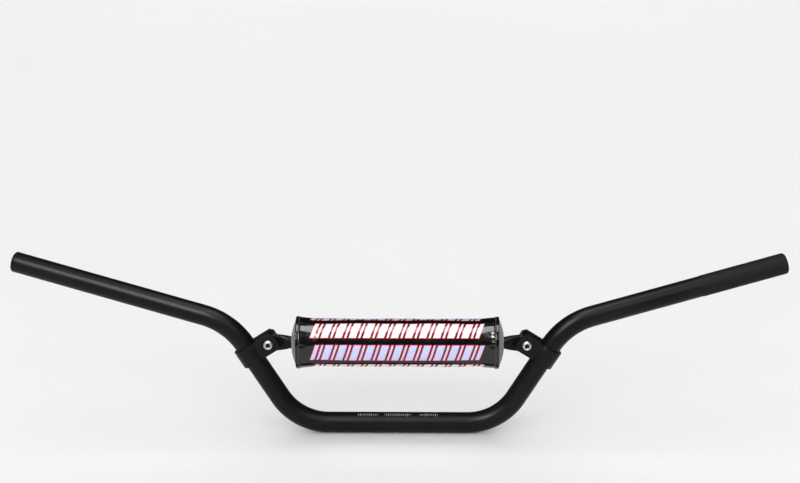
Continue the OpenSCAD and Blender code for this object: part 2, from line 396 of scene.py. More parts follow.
# The print: rows of slanted blocks round the pad, sizes in degrees or metres
ROW_PITCH = 57.0
ROW_SHIFT = 9.3
ROW_HALF = 9.5 * MM
ROW_END = 89 * MM
SLANT = 0.32
CELL = 14.8 * MM
BLOCK_HALF = 3.7 * MM
BAR_HALF = 1.0 * MM
EDGE = 0.75 * MM


def printed_rows(n, x, angle):
    """Masks of the pale fill and of its red edge, and 1 on every second row."""
    degrees = n.math("MULTIPLY", angle, math.degrees(1))
    turned = n.math("ADD", degrees, 90 + ROW_SHIFT)
    row = n.math("WRAP", turned, ROW_PITCH / 2, -ROW_PITCH / 2)
    pair = n.math("WRAP", turned, ROW_PITCH * 1.5, -ROW_PITCH / 2)
    second = n.math("GREATER_THAN", pair, ROW_PITCH / 2)
    rise = n.math("MULTIPLY", row, PAD_R * math.radians(1))
    run = n.math("SUBTRACT", x, n.math("MULTIPLY", rise, SLANT))
    from_cell = n.math("ABSOLUTE", n.math("WRAP", run, CELL / 2, -CELL / 2))
    masks = []
    for grow in (0.0, EDGE):
        tall = n.math("LESS_THAN", n.math("ABSOLUTE", rise), ROW_HALF - EDGE + grow)
        along = n.math("LESS_THAN", n.math("ABSOLUTE", run), ROW_END + grow)
        block = n.math("LESS_THAN", from_cell, BLOCK_HALF + grow)
        bar = n.math("GREATER_THAN", from_cell, CELL / 2 - BAR_HALF - grow)
        block = n.math("MAXIMUM", block, bar)
        masks.append(n.math("MULTIPLY", n.math("MULTIPLY", tall, along), block))
    return masks[0], masks[1], second


def foam_material():
    """Open-celled grey foam, its colour darkened in the cells' pits as painted shade."""
    n = Nodes("foam_grey")
    coords, _ = n.object_xyz()
    cells = n.tree.nodes.new("ShaderNodeTexVoronoi")
    n.put(cells.inputs["Vector"], coords)
    cells.inputs["Scale"].default_value = 1400
    # Painted shade: the colour follows the cells' depth, darkest in their pits
    base = n.mix(cells.outputs["Distance"], (0.05, 0.05, 0.052, 1), (0.14, 0.14, 0.145, 1))
    n.set(Base_Color=base, Roughness=0.9, Normal=n.bump(cells.outputs["Distance"], 0.8, 0.4 * MM))
    return n.mat


def weave_material(name, dark, light, pitch, sheen):
    """Woven fabric from two crossed waves over the piece's own run of cloth, with painted shade and
    highlight.
    """
    n = Nodes(name)
    coords, _ = n.object_xyz()
    uv = n.add("ShaderNodeUVMap", uv_map="run").outputs[0]
    split = n.tree.nodes.new("ShaderNodeSeparateXYZ")
    n.tree.links.new(uv, split.inputs[0])
    warp = n.math("PINGPONG", split.outputs[0], pitch)
    weft = n.math("PINGPONG", split.outputs[1], pitch)
    a = n.math("SINE", n.math("MULTIPLY", split.outputs[0], math.pi / pitch))
    b = n.math("SINE", n.math("MULTIPLY", split.outputs[1], math.pi / pitch))
    over = n.ramp(n.math("MULTIPLY", a, b), -0.4, 0.4)
    threads = n.mix(over, n.math("DIVIDE", warp, pitch), n.math("DIVIDE", weft, pitch))
    grime = n.noise(coords, 60, 4)
    # Painted shade between the threads and painted highlight on their crowns: the colour follows the
    # threads' height
    base = n.mix(threads, dark, light)
    base = n.mix(n.ramp(grime, 0.35, 0.7, 0.0, 0.25), base, tuple(0.6 * v for v in dark[:3]) + (1,))
    n.set(Base_Color=base, Roughness=0.88, Normal=n.bump(threads, 0.6, 0.25 * MM))
    n.set(Sheen_Weight=sheen, Sheen_Roughness=0.5)
    return n.mat


def thread_material():
    """Twisted grey sewing thread."""
    n = Nodes("thread_grey")
    coords, _ = n.object_xyz()
    twist = n.noise(coords, 3200, 2)
    base = n.mix(twist, (0.035, 0.035, 0.037, 1), (0.13, 0.13, 0.135, 1))
    n.set(Base_Color=base, Roughness=0.7, Normal=n.bump(twist, 0.6, 0.1 * MM))
    return n.mat


def pile_material(name, tone):
    """Hook or loop strip: a close pile, with painted highlight at its tips and painted shade at its
    roots.
    """
    n = Nodes(name)
    coords, _ = n.object_xyz()
    pile = n.noise(coords, 1500, 4, 0.8)
    # Painted shade at the pile's roots and painted highlight at its tips, following the pile's height
    roots, tips = (tone * 0.5, tone * 0.5, tone * 0.5, 1), (tone * 2, tone * 2, tone * 2.1, 1)
    base = n.mix(n.ramp(pile, 0.35, 0.7), roots, tips)
    n.set(Base_Color=base, Roughness=0.95, Normal=n.bump(pile, 1.0, 0.5 * MM), Sheen_Weight=0.3)
    return n.mat


# ---------------------------------------------------------------- main tube


def filleted_path(corners, radii, step_angle=2.0, straight_step=6 * MM):
    """Centreline of a bent tube: its points, unit tangents and distance run, left to right."""
    points, tangents = [], []
    previous = corners[0]

    def straight(a, b):
        count = max(1, int((b - a).length / straight_step))
        direction = (b - a).normalized()
        for i in range(count):
            points.append(a.lerp(b, i / count))
            tangents.append(direction)

    for i in range(1, len(corners) - 1):
        here, radius = corners[i], radii[i - 1]
        back = (corners[i - 1] - here).normalized()
        ahead = (corners[i + 1] - here).normalized()
        turn = math.pi - back.angle(ahead)
        tangent_length = radius * math.tan(turn / 2)
        start, end = here + back * tangent_length, here + ahead * tangent_length
        straight(previous, start)
        centre = here + (back + ahead).normalized() * (radius / math.cos(turn / 2))
        arm = start - centre
        axis = arm.cross(-back).normalized()
        steps = max(4, round(math.degrees(turn) / step_angle))
        for k in range(steps):
            spin = Matrix.Rotation(turn * k / steps, 3, axis)
            points.append(centre + spin @ arm)
            tangents.append(spin @ -back)
        previous = end
    straight(previous, corners[-1])
    points.append(corners[-1])
    tangents.append((corners[-1] - corners[-2]).normalized())
    points = np.array(points)
    run = np.concatenate([[0], np.cumsum(np.linalg.norm(np.diff(points, axis=0), axis=1))])
    return points, np.array(tangents), run


def flip_x(v):
    return Vector((-v.x, v.y, v.z))


def tube_centreline():
    half = [LOW_CORNER, HIGH_CORNER, END_POINT]
    corners = [flip_x(v) for v in reversed(half)] + half
    return filleted_path(corners, [HIGH_BEND_R, LOW_BEND_R, LOW_BEND_R, HIGH_BEND_R])


def carried_frames(tangents, up):
    """A pair of unit directions across the path at every point, carried along without twist."""
    sides, ups = [], []
    u = np.array(up, float)
    for t in tangents:
        u = u - t * (u @ t)
        u /= np.linalg.norm(u)
        ups.append(u.copy())
        sides.append(np.cross(t, u))
    return np.array(sides), np.array(ups)


CENTRELINE = tube_centreline()
TUBE_LENGTH = CENTRELINE[2][-1]
ARM_DIR = (END_POINT - HIGH_CORNER).normalized()
KNURL_START_X = END_POINT.x - KNURL_LENGTH * ARM_DIR.x
KNURLS_ROUND = 42
SIDES_PER_KNURL = 6
GROOVE_DEPTH = 0.28 * MM


def knurl_height(theta, s):
    """Height of the diamond knurling, 0 in the grooves and 1 on the flats."""
    pitch = 2 * math.pi / KNURLS_ROUND
    along = s / (TUBE_R + KNURL_H)
    a = np.abs(((theta + along) / pitch) % 1 * 2 - 1)
    b = np.abs(((theta - along) / pitch) % 1 * 2 - 1)
    return np.clip(np.minimum(a, b) * 2.2, 0, 1)


def make_main_tube():
    points, tangents, run = CENTRELINE
    sides, ups = carried_frames(tangents, (0, 0, 1))
    around = KNURLS_ROUND * SIDES_PER_KNURL
    theta = np.arange(around) / around * 2 * math.pi
    knurl_from = TUBE_LENGTH - KNURL_LENGTH
    soft = 0.25 * MM

    # rows of (distance run, radius), out along the outside and back through the bore
    rows = [(BORE_CHAMFER, BORE_R), (0, BORE_R + BORE_CHAMFER), (0, TUBE_R - END_CHAMFER - soft),
            (soft * 0.4, TUBE_R - END_CHAMFER + soft * 0.2), (END_CHAMFER - soft, TUBE_R - soft * 0.8),
            (END_CHAMFER, TUBE_R - soft * 0.15), (END_CHAMFER + soft, TUBE_R)]
    rows += [(s, TUBE_R) for s in run if END_CHAMFER + 1 * MM < s < knurl_from - 1 * MM]
    rows += [(knurl_from - 0.1 * MM, TUBE_R)]
    outer_r = TUBE_R + KNURL_H
    knurl_step = 2 * math.pi / KNURLS_ROUND * outer_r / SIDES_PER_KNURL
    knurl_to = TUBE_LENGTH - END_CHAMFER
    count = int((knurl_to - knurl_from) / knurl_step)
    knurl_rows = [(knurl_from + 0.1 * MM + i * knurl_step, outer_r) for i in range(count)]
    far = [(knurl_to, outer_r - soft * 0.5),
           (TUBE_LENGTH - soft * 0.4, outer_r - END_CHAMFER + soft * 0.2),
           (TUBE_LENGTH, outer_r - END_CHAMFER - soft), (TUBE_LENGTH, BORE_R + BORE_CHAMFER),
           (TUBE_LENGTH - BORE_CHAMFER, BORE_R)]
    inside = [(s, BORE_R) for s in run[::-1][::2] if 2 * MM < s < TUBE_LENGTH - 2 * MM]
    table = np.array(rows + knurl_rows + far + inside)

    first_knurl, last_knurl = len(rows), len(rows) + len(knurl_rows)
    s, radius = table[:, 0], table[:, 1]

    def along(values):
        return np.stack([np.interp(s, run, values[:, i]) for i in range(3)], -1)

    centre = along(points)
    side, up = along(sides), along(ups)
    side /= np.linalg.norm(side, axis=1)[:, None]
    up /= np.linalg.norm(up, axis=1)[:, None]
    reach = np.repeat(radius[:, None], around, 1)
    block = slice(first_knurl, last_knurl)
    cut = knurl_height(theta[None], (s[block] - knurl_from)[:, None])
    ends = np.minimum(smoothstep(0, 1.5 * MM, s[block] - knurl_from), 1)[:, None]
    reach[block] = TUBE_R + KNURL_H * ends - GROOVE_DEPTH * (1 - cut) * ends
    ring = (centre[:, None] + reach[..., None] * (np.cos(theta)[None, :, None] * up[:, None]
            + np.sin(theta)[None, :, None] * side[:, None]))
    u = np.arange(around + 1) / around
    v = np.append(s, s[0])
    mesh = grid_mesh("main_tube_fine", ring, wrap_rows=True, uv=(u, v), sharp=50)
    outward(mesh)
    tube = add_object("main_tube_fine", mesh)
    set_material(tube, tube_material())
    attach(tube, "bar")
    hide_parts("main_tube")


make_main_tube()

# ---------------------------------------------------------------- crossbar


def flattened_section(x, count):
    """Cross-section (y, z) of the crossbar at x: round in the middle, pressed flat near the ends."""
    d = abs(x)
    press_from = FLAT_START - PRESS_LEAD
    press = float(smoothstep(press_from, press_from + PRESS_RUN, d))
    widen = float(np.clip((d - press_from) / PRESS_RUN, 0, 1)) ** 0.85
    half_t = CROSSBAR_R + (FLAT_T / 2 - CROSSBAR_R) * press
    half_h = CROSSBAR_R + (FLAT_H / 2 - CROSSBAR_R) * widen
    if d > BOLT_X:
        reach = max(0.0, 1 - ((d - BOLT_X) / (FLAT_H / 2)) ** 2)
        half_h = max(0.02 * MM, FLAT_H / 2 * math.sqrt(reach))
    power = 2 + 3.5 * press
    angle = np.arange(count) / count * 2 * math.pi
    c, s = np.cos(angle), np.sin(angle)
    y = half_t * np.sign(s) * np.abs(s) ** (2 / power)
    z = half_h * np.sign(c) * np.abs(c) ** (2 / power)
    return y, z


def make_crossbar():
    count = 64
    stations = list(np.linspace(0, FLAT_START - 2.2 * MM, 24))
    stations += list(np.linspace(FLAT_START - 1.9 * MM, FLAT_START + 13 * MM, 48))
    stations += list(np.linspace(FLAT_START + 14 * MM, BOLT_X, 6))
    stations += [BOLT_X + FLAT_H / 2 * math.sin(t) for t in np.linspace(0.06, math.pi / 2, 22)]
    stations[-1] = BOLT_X + FLAT_H / 2
    xs = [-x for x in reversed(stations[1:])] + stations
    rows = []
    for x in xs:
        y, z = flattened_section(x, count)
        rows.append(np.stack([np.full(count, x), y, z + CROSSBAR_Z], -1))
    mesh = grid_mesh("crossbar_fine", rows, sharp=60)
    fill_ends(mesh)
    bar = add_object("crossbar_fine", mesh)
    for side in (-1, 1):
        drill(bar, Vector((side * BOLT_X, 0, CROSSBAR_Z)), HOLE_R, 12 * MM)
    shade(bar.data, 40)
    set_material(bar, anodised_black("crossbar_black", 0.003, 0.3))
    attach(bar, "bar")
    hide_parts("crossbar")


def drill(piece, at, radius, length):
    """Cuts a round hole along Y."""
    bm = bmesh.new()
    turn = Matrix.Translation(at) @ Matrix.Rotation(math.pi / 2, 4, "X")
    bmesh.ops.create_cone(bm, cap_ends=True, segments=48, radius1=radius, radius2=radius,
                          depth=length, matrix=turn)
    mesh = bpy.data.meshes.new("drill")
    bm.to_mesh(mesh)
    bm.free()
    cutter = add_object("drill", mesh)
    modifier = piece.modifiers.new("hole", "BOOLEAN")
    modifier.object = cutter
    modifier.solver = "EXACT"
    apply_modifiers(piece)
    bpy.data.objects.remove(cutter)
    bpy.data.meshes.remove(mesh)


make_crossbar()

# ---------------------------------------------------------------- clamps


def make_clamp(side):
    """The CAD clamp with its flat faces whole again and its edges rounded."""
    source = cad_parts[f"clamp_{side}"]
    name = f"clamp_{side}_rounded"
    bm = bmesh.new()
    bm.from_mesh(source.data)
    bmesh.ops.remove_doubles(bm, verts=bm.verts, dist=0.002 * MM)
    bmesh.ops.dissolve_limit(bm, angle_limit=math.radians(1), verts=bm.verts, edges=bm.edges)
    mesh = bpy.data.meshes.new(name)
    bm.to_mesh(mesh)
    bm.free()
    clamp = add_object(name, mesh)
    bevel = clamp.modifiers.new("edges", "BEVEL")
    bevel.width = 0.45 * MM
    bevel.segments = 3
    bevel.limit_method = "ANGLE"
    bevel.angle_limit = math.radians(28)
    bevel.harden_normals = True
    apply_modifiers(clamp)
    set_material(clamp, anodised_black(f"clamp_black_{side}", 0.0035, 0.36, 0.8))
    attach(clamp, "bar")
    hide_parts(f"clamp_{side}")


for side in ("left", "right"):
    make_clamp(side)

# ---------------------------------------------------------------- bolts and nuts


def hexagon_reach(angle, apothem):
    """Distance from the middle of a hexagon to its side at each angle."""
    folded = (angle + math.pi / 6) % (math.pi / 3) - math.pi / 6
    return apothem / np.cos(folded)


def lathe(name, rings, place, through=False, count=72, sharp=30):
    """Closed body from rings of (position along the axis, radius at each angle).

    A bolt's ends are filled. A nut has a hole through, so its last ring joins its first.
    """
    angle = np.arange(count) / count * 2 * math.pi
    rows = []
    for depth, radius in rings:
        reach = radius(angle) if callable(radius) else np.full(count, radius)
        rows.append(np.stack([reach * np.cos(angle), reach * np.sin(angle), np.full(count, depth)], -1))
    mesh = grid_mesh(name, rows, wrap_rows=through, sharp=sharp)
    if through:
        outward(mesh)
    else:
        fill_ends(mesh)
    mesh.transform(place)
    shade(mesh, sharp)
    return add_object(name, mesh)


def bolt_place(side):
    """Frame of a bolt: its origin on the crossbar axis, its +Z to the rear."""
    sign = -1 if side == "left" else 1
    return Matrix.Translation((sign * BOLT_X, 0, CROSSBAR_Z)) @ Matrix.Rotation(-math.pi / 2, 4, "X")


def make_bolt(side, steel):
    """Button-head screw, from the bottom of its socket over the head and down the thread."""
    top = HEAD_SEAT - HEAD_H

    def socket(a):
        return hexagon_reach(a, SOCKET_A)

    rings = [
        (top + SOCKET_DEPTH + 0.5 * MM, 0.3 * MM),
        (top + SOCKET_DEPTH, lambda a: socket(a) * 0.97),
        (top + SOCKET_DEPTH - 0.1 * MM, socket),
        (top + 0.45 * MM, socket),
        (top + 0.15 * MM, 2.55 * MM),
        (top, 2.7 * MM),
        (top, HEAD_FLAT_R),
    ]
    dome_h = HEAD_H - 0.6 * MM
    for i in range(1, 13):
        t = i / 12 * math.pi / 2
        radius = HEAD_FLAT_R + (HEAD_R - HEAD_FLAT_R) * math.sin(t)
        rings.append((top + dome_h * (1 - math.cos(t)), radius))
    rings += [
        (HEAD_SEAT - 0.15 * MM, HEAD_R),
        (HEAD_SEAT, HEAD_R - 0.15 * MM),
        (HEAD_SEAT, SHANK_R + 0.2 * MM),
        (HEAD_SEAT + 0.2 * MM, SHANK_R),
    ]
    rings += thread_rings(HEAD_SEAT + THREAD_FROM, HEAD_SEAT + BOLT_LENGTH)
    bolt = lathe(f"bolt_{side}_button", rings, bolt_place(side))
    set_material(bolt, steel)
    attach(bolt, f"bolt_{side}")
    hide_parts(f"bolt_{side}")


def thread_rings(start, end):
    """Rings of a screw thread, which winds because the groove shifts with the angle."""
    rings = []
    steps = int((end - start) / (THREAD_PITCH / 8))
    for i in range(steps + 1):
        at = start + (end - start) * i / steps
        fade = min(1, (at - start) / (0.6 * MM)) * min(1, (end - at) / (0.5 * MM))
        taper = 0.35 * MM * (1 - min(1, (end - at) / (0.6 * MM)))

        def reach(a, at=at, fade=fade, taper=taper):
            saw = np.abs((at / THREAD_PITCH - a / (2 * math.pi)) % 1 * 2 - 1)
            return SHANK_R - taper - THREAD_DEPTH * fade * np.clip(saw * 1.3 - 0.15, 0, 1)

        rings.append((at, reach))
    return rings


def make_nut(side, steel):
    """Hexagon nut: its hole, the outer face, the sides with rounded-off corners, the seat."""
    corner = NUT_A / math.cos(math.pi / 6)
    outer = NUT_SEAT + NUT_H
    hole = SHANK_R + 0.05 * MM

    def hexagon(limit):
        return lambda a: np.minimum(hexagon_reach(a, NUT_A), limit)

    rings = [(outer - 0.4 * MM, hole), (outer, hole + 0.45 * MM), (outer, NUT_A * 0.93)]
    for t in np.linspace(0, 1, 6):
        limit = NUT_A * 0.96 + (corner - NUT_A * 0.96) * t
        rings.append((outer - 0.15 * MM - 0.6 * MM * t, hexagon(limit)))
    for t in np.linspace(0, 1, 6):
        limit = corner - (corner - NUT_A * 0.97) * t
        rings.append((NUT_SEAT + 0.5 * MM * (1 - t), hexagon(limit)))
    rings += [(NUT_SEAT, hole + 0.4 * MM), (NUT_SEAT + 0.4 * MM, hole)]
    nut = lathe(f"nut_{side}_hex", rings, bolt_place(side), through=True)
    set_material(nut, steel)
    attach(nut, "bar")
    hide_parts(f"nut_{side}")


steel = steel_material()
for side in ("left", "right"):
    make_bolt(side, steel)
    make_nut(side, steel)

# ---------------------------------------------------------------- chest pad


def round_pad(x, angle, radius):
    """Points round the crossbar axis, angle 0 at the top and a quarter turn at the rear."""
    return np.stack([x, radius * np.sin(angle), CROSSBAR_Z + radius * np.cos(angle)], -1)


def lumps(angle, x, seed, waves, size):
    """Smooth unevenness of a stuffed sleeve, the same each run."""
    draw = np.random.default_rng(seed)
    total = np.zeros(np.broadcast(angle, x).shape)
    for _ in range(waves):
        k = draw.integers(1, 6)
        m = draw.uniform(15, 90)
        height = draw.uniform(-1, 1)
        around = np.cos(k * angle + draw.uniform(0, 6.3))
        total += height * around * np.cos(m * x + draw.uniform(0, 6.3))
    return size * total / math.sqrt(waves)


def cover_radius(angle, x):
    """Outer radius of the vinyl cover: hems at the ends, a stitched dip, soft unevenness."""
    d = COVER_HALF - np.abs(x)
    hem = HEM_H * (1 - smoothstep(HEM_W - 0.6 * MM, HEM_W + 0.8 * MM, d))
    dip = 0.35 * MM * np.exp(-((d - HEM_W + 0.9 * MM) / (0.5 * MM)) ** 2)
    edge = 0.35 * MM * (1 - smoothstep(0, 0.7 * MM, d))
    swell = 0.25 * MM * np.cos(np.clip(x / COVER_HALF, -1, 1) * math.pi / 2)
    pucker = 0.18 * MM * np.exp(-(d - HEM_W) / (5 * MM)) * np.cos(30 * angle + 2 * np.sin(3 * angle))
    pucker = np.where(d > HEM_W, pucker, 0)
    flare = FLARE * np.clip(1 - (d - HEM_W) / FLARE_RUN, 0, 1) ** 1.3
    sunk = PAD_R - 0.2 * MM
    return sunk + flare + hem - dip - edge + swell + pucker + lumps(angle, x, 3, 14, 0.12 * MM)


def thick_sheet(name, outer_of, xs, angles, closed, thickness=SHEET):
    """A sheet of even thickness round the crossbar, with its own edges."""
    a, x = np.meshgrid(angles, xs)
    outer = outer_of(a, x)
    top = round_pad(x, a, outer)
    under = round_pad(x, a, outer - thickness)
    rows = np.concatenate([top, under[::-1]])
    u = np.append(angles, angles[0] + 2 * math.pi) * PAD_R if closed else angles * PAD_R
    v = np.concatenate([xs, xs[::-1], xs[:1]])
    mesh = grid_mesh(name, rows, wrap_rows=True, wrap_cols=closed, uv=(u, v), sharp=50)
    if not closed:
        bm = bmesh.new()
        bm.from_mesh(mesh)
        close_sides(bm, rows.shape[0], rows.shape[1])
        bmesh.ops.recalc_face_normals(bm, faces=bm.faces)
        bm.to_mesh(mesh)
        bm.free()
    else:
        outward(mesh)
    shade(mesh, 50)
    return add_object(name, mesh)


def close_sides(bm, rows, cols):
    """Joins the top and bottom skins of a sheet along its two side edges."""
    bm.verts.ensure_lookup_table()
    half = rows // 2
    for c in (0, cols - 1):
        for r in range(half - 1):
            bm.faces.new([bm.verts[row * cols + c] for row in (r, r + 1, rows - 2 - r, rows - 1 - r)])


CLOTH_FRAMES = 14
CLOTH_CAP = 0.4 * MM
SMOOTHING_PASSES = 6


def settled_sleeve(xs, angles):
    """Middle surface of the cover after cloth simulation, held at its hems and its rear closure."""
    a, x = np.meshgrid(angles, xs)
    start = round_pad(x, a, cover_radius(a, x) - SHEET / 2)
    piece = add_object("sleeve_cloth", grid_mesh("sleeve_cloth", start))
    piece.data.flip_normals()
    into_hem = smoothstep(HEM_W, HEM_W + 5 * MM, COVER_HALF - np.abs(x))
    off_closure = smoothstep(STRIP_ANGLE / 2 + 0.15, STRIP_ANGLE / 2 + 0.35, np.abs(a - REAR))
    held = 1 - np.minimum(into_hem, off_closure)
    group = piece.vertex_groups.new(name="held")
    for i, weight in enumerate(held.reshape(-1)):
        group.add([i], float(weight), "REPLACE")
    cloth = piece.modifiers.new("cloth", "CLOTH")
    cloth.settings.quality = 6
    cloth.settings.mass = 0.1
    cloth.settings.tension_stiffness = 12
    cloth.settings.compression_stiffness = 12
    cloth.settings.shear_stiffness = 4
    cloth.settings.bending_stiffness = 2.0
    cloth.settings.air_damping = 2
    cloth.settings.vertex_group_mass = "held"
    cloth.settings.pin_stiffness = 1
    cloth.settings.shrink_min = -0.007
    cloth.settings.use_pressure = True
    cloth.settings.uniform_pressure_force = 6
    cloth.settings.effector_weights.gravity = 0
    cloth.collision_settings.use_collision = False
    cloth.point_cache.frame_start = 1
    cloth.point_cache.frame_end = CLOTH_FRAMES
    for step in range(1, CLOTH_FRAMES + 1):
        bpy.context.scene.frame_set(step)
    made = piece.evaluated_get(bpy.context.evaluated_depsgraph_get()).to_mesh()
    ended = np.empty(start.size)
    made.vertices.foreach_get("co", ended)
    ended = ended.reshape(start.shape)
    bpy.context.scene.frame_set(1)
    moved = ended - start
    for _ in range(SMOOTHING_PASSES):
        moved = (moved + np.roll(moved, 1, 1) + np.roll(moved, -1, 1)) / 3
        moved[1:-1] = (moved[:-2] + moved[1:-1] + moved[2:]) / 3
    size = np.linalg.norm(moved, axis=-1, keepdims=True)
    data = piece.data
    bpy.data.objects.remove(piece)
    bpy.data.meshes.remove(data)
    return start + moved * np.minimum(1, CLOTH_CAP / np.maximum(size, 1e-9))


def sleeve_piece(xs, angles):
    """The cover's sleeve: the settled cloth given its thickness."""
    a, x = np.meshgrid(angles, xs)
    middle = settled_sleeve(xs, angles)
    out = round_pad(np.zeros_like(x), a, np.ones_like(a)) - np.array([0, 0, CROSSBAR_Z])
    rows = np.concatenate([middle + out * SHEET / 2, (middle - out * SHEET / 2)[::-1]])
    u = np.append(angles, 2 * math.pi) * PAD_R
    v = np.concatenate([xs, xs[::-1], xs[:1]])
    mesh = grid_mesh("pad_cover_sleeve", rows, wrap_rows=True, uv=(u, v), sharp=50)
    outward(mesh)
    return add_object("pad_cover_sleeve", mesh)


def make_cover(vinyl):
    """Vinyl sleeve, and the flap that closes it over the two strips at the rear."""
    near = np.linspace(0, HEM_W + 3 * MM, 22)
    middle = np.linspace(-COVER_HALF + HEM_W + 3 * MM, COVER_HALF - HEM_W - 3 * MM, 124)[1:-1]
    xs = np.concatenate([-COVER_HALF + near, middle, COVER_HALF - near[::-1]])
    angles = np.arange(192) / 192 * 2 * math.pi
    sleeve = sleeve_piece(xs, angles)
    start, lift, end = math.radians(50), math.radians(61), REAR + STRIP_ANGLE / 2

    def flap_outer(a, x):
        rise = smoothstep(start, lift, a)
        low = cover_radius(a, x) + 0.25 * MM
        high = FLAP_R + lumps(a, x, 9, 10, 0.1 * MM)
        corner = 0.25 * MM * smoothstep(end - 0.03, end, a)
        return low + (high - low) * rise - corner

    flap_xs, flap_angles = np.linspace(-STRIP_HALF, STRIP_HALF, 130), np.linspace(start, end, 44)
    flap = thick_sheet("pad_cover_flap", flap_outer, flap_xs, flap_angles, False)
    cover = join("pad_cover_vinyl", [sleeve, flap])
    shade(cover.data, 50)
    set_material(cover, vinyl)
    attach(cover, "pad")
    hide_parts("pad_cover")


def make_strip(node, inner_r, tone, seed):
    """Hook or loop strip under the flap, its outer face rough with pile."""
    low, high = REAR - STRIP_ANGLE / 2, REAR + STRIP_ANGLE / 2
    xs = np.linspace(-STRIP_HALF, STRIP_HALF, 200)
    angles = np.linspace(low, high, 60)

    def outer(a, x):
        draw = np.random.default_rng(seed)
        nap = draw.uniform(-0.12, 0.12, a.shape) * MM
        return inner_r + STRIP_T - 0.14 * MM + nap

    strip = thick_sheet(f"{node}_pile", outer, xs, angles, False, STRIP_T - 0.3 * MM)
    set_material(strip, pile_material(f"closure_{node}", tone))
    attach(strip, "pad")
    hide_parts(node)


def make_pad_end(side, fabric):
    """Fabric cone that closes one end, gathered a little where it is sewn in."""
    sign = -1 if side == "left" else 1
    rows, radii = [], []
    angle = np.arange(240) / 240 * 2 * math.pi
    mouth, edge = CROSSBAR_R + PAD_GAP + 0.25 * MM, PAD_R + FLARE - SHEET - 0.1 * MM
    middle_r = 17 * MM
    draw = np.random.default_rng(11 if side == "left" else 12)
    gathers = 0
    for k in (9, 14, 19, 23, 31):
        gathers += draw.uniform(0.5, 1) * np.cos(k * angle + draw.uniform(0, 6.3))
    steps = 46

    def add_ring(radius, out):
        """One ring of points, at a distance out from the end of the cover."""
        x = np.broadcast_to(sign * (COVER_HALF + out), angle.shape)
        rows.append(round_pad(x, angle, np.full_like(angle, radius)))
        radii.append(radius)

    def cone_ring(t, sunk, fold=0.0):
        """A ring at t, from 0 at the cover to 1 at the crossbar, sunk below the full cone."""
        bulge = END_BULGE * (t + 0.16 * math.sin(math.pi * t))
        add_ring(edge + (mouth - edge) * t, bulge - sunk + fold)

    for i in range(steps + 1):
        t = i / steps
        fold = 0.1 * MM * gathers * math.exp(-t * 4) * smoothstep(0, 0.12, t)
        cone_ring(t, 0.5 * MM, fold)
    add_ring(mouth - 0.05 * MM, END_BULGE - 0.75 * MM)
    add_ring(mouth + 0.6 * MM, END_BULGE - 1.1 * MM)
    for i in range(steps, -1, -2):
        cone_ring(i / steps, 1.4 * MM)
    u = np.arange(len(angle) + 1) / len(angle) * 2 * math.pi * middle_r
    v = np.append(radii, radii[0])
    mesh = grid_mesh(f"pad_end_{side}_fabric", rows, wrap_rows=True, uv=(u, v), sharp=55)
    outward(mesh)
    end = add_object(f"pad_end_{side}_fabric", mesh)
    set_material(end, fabric)
    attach(end, "pad")
    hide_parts(f"pad_end_{side}")


def make_foam():
    """Foam core with its bore and the slit at the rear."""
    bore = CROSSBAR_R + PAD_GAP
    skin = PAD_R - SHEET - 0.6 * MM
    flared = skin + FLARE - 0.2 * MM
    flare_x = COVER_HALF - HEM_W - FLARE_RUN
    slit_half = 0.75 * MM
    mouth_x = COVER_HALF + END_BULGE - 2.6 * MM
    edge_x = COVER_HALF - 2.2 * MM
    rows = []
    count = 120
    outline = [(bore, -mouth_x), (flared, -edge_x), (flared, HEM_W - COVER_HALF)]
    outline += [(skin, x) for x in np.linspace(-flare_x, flare_x, 30)]
    outline += [(flared, COVER_HALF - HEM_W), (flared, edge_x), (bore, mouth_x)]
    outline += [(bore, x) for x in np.linspace(mouth_x, -mouth_x, 40)[1:-1]]
    for radius, x in outline:
        half = math.asin(slit_half / radius)
        angles = np.linspace(REAR + half, REAR + 2 * math.pi - half, count)
        rows.append(round_pad(np.full(count, x), angles, np.full(count, radius)))
    mesh = grid_mesh("pad_foam_core", rows, wrap_rows=True, wrap_cols=False, sharp=40)
    fill_ends(mesh)
    foam = add_object("pad_foam_core", mesh)
    set_material(foam, foam_material())
    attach(foam, "pad")
    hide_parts("pad_foam")


def stitch_mesh(bm, start, end, lift, thick):
    """One stitch: a short thread that rises from the sheet, runs and goes back in."""
    along = end - start
    across = along.cross(lift).normalized() * thick
    up = lift.normalized()
    half = ((0.0, -0.6), (0.12, 0.35), (0.3, 0.85))
    profile = half + ((0.5, 1.0),) + tuple((1 - t, height) for t, height in reversed(half))
    sides = 8
    rings = []
    for t, height in profile:
        centre = start + along * t + up * (thick * height)
        ring = []
        for k in range(sides):
            a = k / sides * 2 * math.pi
            ring.append(bm.verts.new(centre + across * math.cos(a) + up * thick * math.sin(a)))
        rings.append(ring)
    for first, second in zip(rings, rings[1:]):
        for k in range(sides):
            after = (k + 1) % sides
            bm.faces.new((first[k], first[after], second[after], second[k]))
    bm.faces.new(list(reversed(rings[0])))
    bm.faces.new(rings[-1])


THREAD_R = 0.28 * MM
HEM_STITCHES = 52
SEAM_STITCHES = 60
SEAM_INSET = 0.08


def pad_point(angle, x, radius):
    """A point round the crossbar axis, as a vector."""
    return Vector(round_pad(np.array(x), np.array(angle), np.array(radius)))


def cover_point(angle, x, lift=0.0):
    """A point on the cover's outside, or lifted off it."""
    return pad_point(angle, x, float(cover_radius(np.array(angle), np.array(x))) + lift)


def facing(angle):
    """The direction straight out from the pad at an angle."""
    return Vector((0, math.sin(angle), math.cos(angle)))


def stitch_hem(bm, x):
    """A ring of stitches round the cover."""
    for i in range(HEM_STITCHES):
        a0 = (i + 0.12) / HEM_STITCHES * 2 * math.pi
        a1 = (i + 0.86) / HEM_STITCHES * 2 * math.pi
        stitch_mesh(bm, cover_point(a0, x), cover_point(a1, x), facing((a0 + a1) / 2), THREAD_R)


